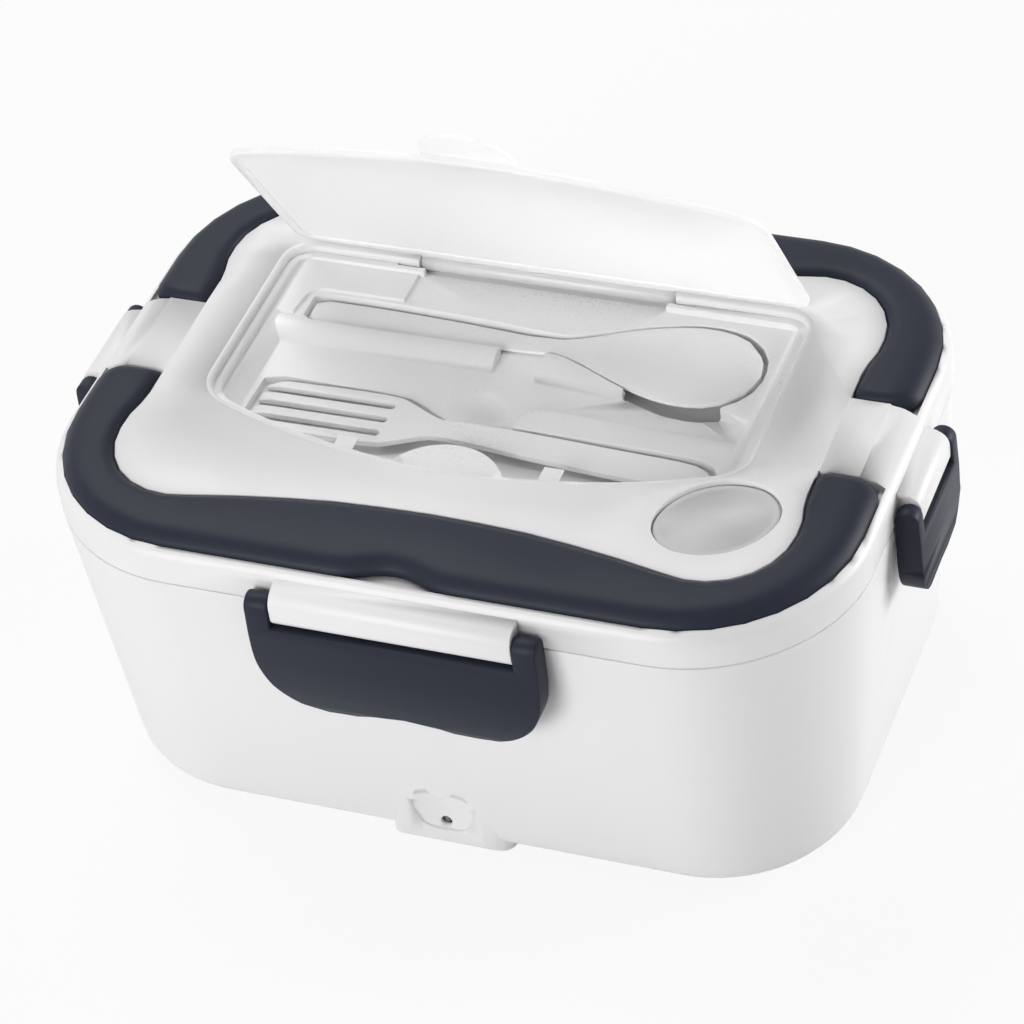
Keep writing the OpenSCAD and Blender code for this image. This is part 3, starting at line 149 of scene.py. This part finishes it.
def softened(node, radius, sharp=32):
    """A merged copy of a CAD node with its sharp edges rounded over.
    Where a rounding would leave the surface or fold, the edges round that place keep their corner."""
    same_place = 1e-6
    one_plane = math.radians(0.5)
    kept_round = 0.001
    tries = 6
    whole = bmesh.new()
    whole.from_mesh(nodes[node].data)
    bmesh.ops.remove_doubles(whole, verts=whole.verts, dist=same_place)
    surface = BVHTree.FromBMesh(whole)
    bmesh.ops.dissolve_limit(whole, angle_limit=one_plane, use_dissolve_boundaries=False,
                             verts=whole.verts, edges=whole.edges)
    bmesh.ops.connect_verts_concave(whole, faces=whole.faces[:])
    spoilt = []
    for attempt in range(tries):
        build = whole.copy()
        places = KDTree(len(spoilt))
        for index, place in enumerate(spoilt):
            places.insert(place, index)
        places.balance()
        edges = [e for e in build.edges if e.is_manifold and e.calc_face_angle() > math.radians(sharp)
                 and not any(places.find_range(v.co, kept_round) for v in e.verts)]
        bmesh.ops.bevel(build, geom=edges, offset=radius, offset_type="OFFSET", affect="EDGES",
                        segments=2, profile=0.5, material=-1, clamp_overlap=False, loop_slide=True)
        bmesh.ops.triangulate(build, faces=[f for f in build.faces if len(f.verts) > 4])
        build.normal_update()
        new = [place for place in spoilt_places(build, surface, radius)
               if not places.find_range(place, 10 * same_place)]
        if not new:
            break
        spoilt += new
    whole.free()
    return build


white_pp = moulded("white polypropylene, satin moulded", "#e9e8e9", 0.4, 0.6, 0.02)
show(softened("base_shell", 0.0003), "base_shell_moulded", white_pp, "base", "base_shell")
paint(["latch_catches"], white_pp)


# ---- Bottom cover and inner liner --------------------------------------------------
# The cover closes the base from below and the liner is the tub that the food container
# sits in. Both are plain white polypropylene mouldings, duller than the outer body.

inner_pp = moulded("white polypropylene, dull moulded", "#e3e3e2", 0.52, 0.8, 0.03)
paint(["bottom_cover", "inner_liner"], inner_pp)


# ---- Rubber feet -------------------------------------------------------------------
# Four feet of black thermoplastic rubber pushed into the bottom cover. Moulded rubber
# looks matt and a little dusty.

foot_rubber = moulded("black thermoplastic rubber, matt", "#2a2a2b", 0.82, 0.5, 0.05, 0.12, 1.5)
paint(["rubber_feet"], foot_rubber)


# ---- Heating plate -----------------------------------------------------------------
# A plate of aluminium in the floor of the well that spreads the heater's warmth. It is
# pressed from rolled sheet, whose straight, fine lines stay on it.

def lined_metal(name, colour, roughness, line_mm, run_mm, depth_mm, streak=0.06):
    """Metal with fine parallel lines along X from rolling, brushing or drawing."""
    material = start_material(name)
    gloss_spread = 0.08
    place = add(material, "ShaderNodeTexCoord")
    # Lines are drawn a few tenths of a millimetre wide so that they show
    along = add(material, "ShaderNodeMapping",
                inputs={"Scale": (1000 / run_mm, 1000 / line_mm, 1000 / line_mm)},
                links={"Vector": place.outputs["Object"]})
    lines = add(material, "ShaderNodeTexNoise", inputs={"Scale": 1.0, "Detail": 4.0},
                links={"Vector": along.outputs["Vector"]})
    patches = add(material, "ShaderNodeTexNoise", inputs={"Scale": 20.0, "Detail": 3.0},
                  links={"Vector": place.outputs["Object"]})
    shade = linear(colour)
    tone = add(material, "ShaderNodeMix", {"data_type": "RGBA"}, links={"Factor": lines.outputs["Fac"]})
    tone.inputs["A"].default_value = [c * (1 - streak) for c in shade[:3]] + [1]
    tone.inputs["B"].default_value = [min(1, c * (1 + streak)) for c in shade[:3]] + [1]
    both = add(material, "ShaderNodeMath", {"operation": "MULTIPLY_ADD"}, {1: 0.5},
               {0: lines.outputs["Fac"], 2: patches.outputs["Fac"]})
    gloss = add(material, "ShaderNodeMapRange",
                inputs={"From Min": 0.4, "From Max": 1.1,
                        "To Min": roughness - gloss_spread, "To Max": roughness + gloss_spread},
                links={"Value": both.outputs["Value"]})
    bump = add(material, "ShaderNodeBump", inputs={"Strength": 0.35, "Distance": depth_mm / 1000},
               links={"Height": lines.outputs["Fac"]})
    shader = add(material, "ShaderNodeBsdfPrincipled", inputs={"Metallic": 1.0},
                 links={"Base Color": tone.outputs["Result"], "Roughness": gloss.outputs["Result"],
                        "Normal": bump.outputs["Normal"]})
    finish_material(material, shader)
    return material


rolled_aluminium = lined_metal("rolled aluminium sheet", "#c3c5c8", 0.42, 0.3, 30, 0.01)
paint(["heating_plate"], rolled_aluminium)


# ---- Heater and its clamp ----------------------------------------------------------
# The heater is a ceramic element in an extruded aluminium case; a bent strip of
# zinc-plated steel and two screws hold it against the plate.

extruded_case = lined_metal("extruded aluminium, anodised", "#9a9c9f", 0.5, 0.5, 60, 0.02, 0.1)
zinc_steel = lined_metal("zinc-plated steel, bright", "#c4c6c9", 0.33, 0.25, 2.5, 0.01)
paint(["ptc_heater"], extruded_case)
paint(["heater_clamp", "clamp_screws"], zinc_steel)


# ---- Temperature cutout ------------------------------------------------------------
# A small switch in a brown phenolic case. Pressed phenolic has a faint mottle of
# lighter filler and a low gloss.

phenolic = moulded("brown phenolic, pressed", "#4b3a2c", 0.4, 0.9, 0.01, 0.25, 1.55)
paint(["thermal_cutout"], phenolic)


# ---- Lamp board and lamp -----------------------------------------------------------
# The board is glass-epoxy with green lacquer over copper tracks. The lamp is a clear
# epoxy lens, unlit, behind the round hole in the front pad.

board_lacquer = start_material("green lacquer over copper tracks")
place = add(board_lacquer, "ShaderNodeTexCoord")
# Tracks are drawn 1.2 mm apart in rows of 5 mm
tracks = add(board_lacquer, "ShaderNodeTexBrick", {"offset": 0.4},
             {"Color1": linear("#1d5a34"), "Color2": linear("#20623a"), "Mortar": linear("#3f7d4a"),
              "Scale": 1.0, "Mortar Size": 0.0003, "Brick Width": 0.005, "Row Height": 0.0012},
             {"Vector": place.outputs["Object"]})
shader = add(board_lacquer, "ShaderNodeBsdfPrincipled", inputs={"Roughness": 0.3, "Coat Weight": 0.4},
             links={"Base Color": tracks.outputs["Color"]})
finish_material(board_lacquer, shader)
paint(["led_board"], board_lacquer)

lamp_epoxy = moulded("clear epoxy lens, unlit", "#5d636c", 0.12, 1.2, 0.004, 0.1, 1.55,
                     {"Transmission Weight": 0.25, "Coat Weight": 0.5})
paint(["indicator_led"], lamp_epoxy)


# ---- Mains inlet and outer screws --------------------------------------------------
# The socket is black glass-filled polyamide, whose surface is matt with fine specks, and
# its pins lie deep in it. It and the bottom cover are held by zinc-plated steel screws.

inlet_black = moulded("black glass-filled polyamide", "#232426", 0.55, 0.4, 0.03, 0.15, 1.53)
paint(["power_inlet"], inlet_black)
paint(["inlet_screws", "cover_screws"], zinc_steel)


# ---- Leads -------------------------------------------------------------------------
# Silicone-insulated leads lie inside the base: red ones from the inlet over the cutout
# to the heater, and black ones to the lamp board. Silicone has a soft, waxy gloss.

lead_red = moulded("red silicone insulation", "#b5332a", 0.5, 0.5, 0.01, 0.06, 1.41)
lead_black = moulded("black silicone insulation", "#2b2c2f", 0.5, 0.5, 0.01, 0.1, 1.41)
paint(["heater_leads"], lead_red)
paint(["led_leads"], lead_black)


# ---- Food container ----------------------------------------------------------------
# A deep-drawn tray of stainless steel that lifts out of the liner. Its walls and floor
# are brushed along the length.

brushed_steel = lined_metal("stainless steel, drawn and brushed", "#cfd1d3", 0.28, 0.35, 25, 0.012)
paint(["food_container"], brushed_steel)


# ---- Lid shell ---------------------------------------------------------------------
# The lid is a white polypropylene moulding with the channels for the handles, the lugs
# of the latches and the opening for the cutlery tray. It lifts off with all it carries.

show(softened("lid_shell", 0.0003), "lid_shell_moulded", white_pp, "lid", "lid_shell")


# ---- Lid liner, seal and screws ----------------------------------------------------
# The liner is screwed up under the lid and carries a seal of pale silicone rubber that
# presses on the rim of the base.

paint(["lid_liner"], inner_pp)
seal_silicone = moulded("pale silicone rubber", "#cfd0d0", 0.6, 0.6, 0.02, 0.03, 1.41)
paint(["lid_seal"], seal_silicone)
paint(["lid_screws"], zinc_steel)


# ---- Cutlery tray ------------------------------------------------------------------
# A white polypropylene insert with shaped places for the fork and spoon. Its tool is
# better polished than the lid's, so it shines a little more.

tray_pp = moulded("white polypropylene, polished moulding", "#f2f2f2", 0.3, 0.8, 0.01)
show(softened("cutlery_tray", 0.0003), "cutlery_tray_moulded", tray_pp, "lid", "cutlery_tray")


# ---- Vent plug ---------------------------------------------------------------------
# A soft grey polyethylene plug that is pulled out to let steam off. It is pressed into
# the oval recess at the lid's right front corner.

vent_pe = moulded("light grey polyethylene, satin", "#c9c9ca", 0.45, 0.6, 0.02, 0.02, 1.51)
show(softened("vent_plug", 0.0002), "vent_plug_moulded", vent_pe, "vent_plug_body", "vent_plug")


# ---- Handles -----------------------------------------------------------------------
# The two handles are solid mouldings of slate grey polypropylene that turn on stubs in
# bores of the lid. They have a wide, soft D-shaped section and a fine dull grain.

slate_pp = moulded("slate grey polypropylene, dull moulded", "#252935", 0.45, 0.5, 0.03, 0.05, 1.49,
                   {"Specular IOR Level": 0.15})

for side in ("front", "rear"):
    show(softened(side + "_handle", 0.0004, 50), side + "_handle_moulded", slate_pp,
         side + "_handle_body", side + "_handle", 50)


# ---- Latches -----------------------------------------------------------------------
# Four latches of the same slate grey polypropylene turn on stubs in bores of the lid's
# white lugs and close over the catches of the base.

for side in ("front", "rear", "left", "right"):
    show(softened(side + "_latch", 0.0005), side + "_latch_moulded", slate_pp,
         side + "_latch_body", side + "_latch")


# ---- Cutlery cover -----------------------------------------------------------------
# A thin hinged cover of natural polypropylene, which is milky and lets light through
# without showing what lies behind it.

milky_pp = moulded("natural polypropylene, milky", "#f6f6f6", 0.32, 0.8, 0.01, 0.01, 1.49,
                   {"Subsurface Weight": 1.0, "Subsurface Radius": (0.02, 0.02, 0.02),
                    "Subsurface Scale": 1.0})
show(softened("cutlery_cover", 0.0003), "cutlery_cover_moulded", milky_pp, "cutlery_cover_body",
     "cutlery_cover")


# ---- Spoon and fork ----------------------------------------------------------------
# Both are white polypropylene mouldings that lie loose in the tray, as smooth as the
# tray itself.

show(softened("spoon", 0.0003, 50), "spoon_moulded", tray_pp, "spoon_body", "spoon", 50)
show(softened("fork", 0.0003), "fork_moulded", tray_pp, "fork_body", "fork")


# ---- Studio ------------------------------------------------------------------------
# A plain white floor and backdrop under three soft lamps, seen from the front right and
# above.

def seen_directly(owner):
    """One for rays from the camera, also by way of gloss or glass, and nought for the others."""
    rays = add(owner, "ShaderNodeLightPath")
    direct = add(owner, "ShaderNodeMath", {"operation": "ADD", "use_clamp": True},
                 links={0: rays.outputs["Is Camera Ray"], 1: rays.outputs["Is Glossy Ray"]})
    seen = add(owner, "ShaderNodeMath", {"operation": "ADD", "use_clamp": True},
               links={0: direct.outputs["Value"], 1: rays.outputs["Is Transmission Ray"]})
    return seen.outputs["Value"]


floor_mesh = bpy.data.meshes.new("floor")
build = bmesh.new()
bmesh.ops.create_grid(build, x_segments=1, y_segments=1, size=6.0)
build.to_mesh(floor_mesh)
build.free()
floor = bpy.data.objects.new("floor", floor_mesh)
bpy.context.collection.objects.link(floor)

# Most of what the camera sees of the floor is plain white; the rest keeps the shadow
plain_share = 0.88
floor_paint = start_material("white studio paper")
matt = add(floor_paint, "ShaderNodeBsdfDiffuse", inputs={"Color": linear("#e8e8e8")})
glow = add(floor_paint, "ShaderNodeEmission", inputs={"Color": (1, 1, 1, 1), "Strength": 1.0})
share = add(floor_paint, "ShaderNodeMath", {"operation": "MULTIPLY"}, {1: plain_share},
            {0: seen_directly(floor_paint)})
paper = add(floor_paint, "ShaderNodeMixShader",
            links={0: share.outputs["Value"], 1: matt.outputs[0], 2: glow.outputs[0]})
finish_material(floor_paint, paper)
floor_mesh.materials.append(floor_paint)

room_light = 0.18
world = bpy.data.worlds.new("studio")
bpy.context.scene.world = world
world.use_nodes = True
world.node_tree.nodes.clear()
room = add(world, "ShaderNodeBackground", inputs={"Color": (1, 1, 1, 1), "Strength": room_light})
white = add(world, "ShaderNodeBackground", inputs={"Color": (1, 1, 1, 1), "Strength": 1.0})
both = add(world, "ShaderNodeMixShader",
           links={0: seen_directly(world), 1: room.outputs[0], 2: white.outputs[0]})
output = add(world, "ShaderNodeOutputWorld")
world.node_tree.links.new(both.outputs[0], output.inputs["Surface"])


def softbox(name, place, aim, size, power):
    """A square area lamp at a place, turned to its aim."""
    lamp = bpy.data.lights.new(name, "AREA")
    lamp.size = size
    lamp.energy = power
    holder = bpy.data.objects.new(name, lamp)
    holder.location = place
    holder.rotation_euler = (Vector(aim) - Vector(place)).to_track_quat("-Z", "Y").to_euler()
    bpy.context.collection.objects.link(holder)


softbox("left", (-0.38, -1.25, 0.5), aim=(-0.03, 0, 0.06), size=0.7, power=11.5)
softbox("right", (1.1, 0.65, 0.3), aim=(0.05, 0, 0.06), size=0.6, power=12.5)
softbox("top", (-0.55, 0.5, 1.35), aim=(0, 0, 0.1), size=1.0, power=12)

# The camera stands to the right of the front and above, and leans a little
azimuth = math.radians(25.71)
elevation = math.radians(41.37)
roll = math.radians(-8.46)
distance = 1.1517
target = Vector((0, 0, 0.055))
left_shift = 0.00268
up_shift = 0.00279
forward = Vector((-math.sin(azimuth) * math.cos(elevation), math.cos(azimuth) * math.cos(elevation),
                  -math.sin(elevation)))
level = Vector((math.cos(azimuth), math.sin(azimuth), 0))
upright = level.cross(forward)
right = level * math.cos(roll) + upright * math.sin(roll)
up = upright * math.cos(roll) - level * math.sin(roll)
camera = bpy.data.objects.new("camera", bpy.data.cameras.new("camera"))
camera.data.lens = 144.3
camera.data.sensor_width = 36
camera.data.sensor_fit = "HORIZONTAL"
stand = target - forward * distance - right * left_shift + up * up_shift
turn = Matrix((right, up, -forward)).transposed().to_4x4()
camera.matrix_world = Matrix.Translation(stand) @ turn
bpy.context.collection.objects.link(camera)
bpy.context.scene.camera = camera
bpy.context.scene.view_settings.view_transform = "Standard"
